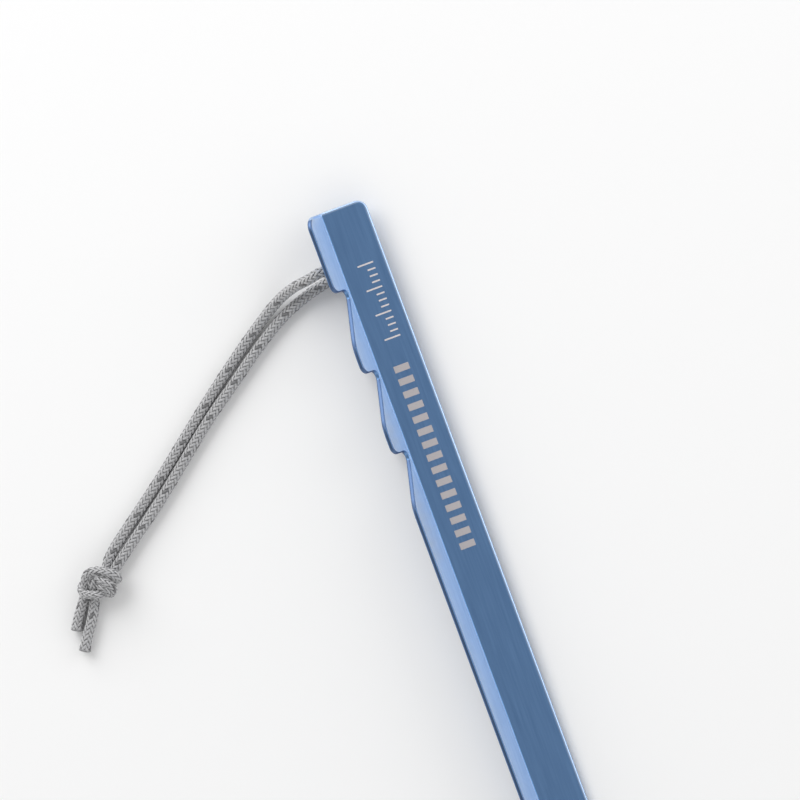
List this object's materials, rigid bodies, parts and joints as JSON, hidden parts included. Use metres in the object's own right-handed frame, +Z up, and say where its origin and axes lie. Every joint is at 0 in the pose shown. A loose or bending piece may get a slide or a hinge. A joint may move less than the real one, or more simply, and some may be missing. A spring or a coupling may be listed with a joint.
{
  "type": "tent stake",
  "caption": "Y-section anodised aluminium tent stake with hook notches and a knotted cord pull loop through a hole near its head.",
  "frame": {"origin": "centre of the metal stake's bounding box, on the surface that it lies on", "axes": "+Z up, +Y from the point to the head, +X towards the edge of the wide plain fin; the head end is raised 1 degree by the cord under it"},
  "size_m": [0.0991, 0.2, 0.0131],
  "materials": {
    "anodised_aluminium": "satin blue anodised, tumbled edges, laser-marked",
    "braided_cord": "light grey braided polyester with dark flecks"
  },
  "bodies": {
    "stake_body": {"stake": "anodised_aluminium"},
    "pull_loop": {"cord_strand_over": "braided_cord", "cord_strand_under": "braided_cord", "cord_knot": "braided_cord", "cord_tail_short": "braided_cord", "cord_tail_long": "braided_cord"}
  },
  "joints": [
    {"name": "pull_loop_swing", "type": "hinge", "parent": "stake_body", "child": "pull_loop", "pos_m": [-0.00459, 0.0876, 0.00522], "axis": [0, 0, 1], "range_deg": [-15, 25]}
  ]
}
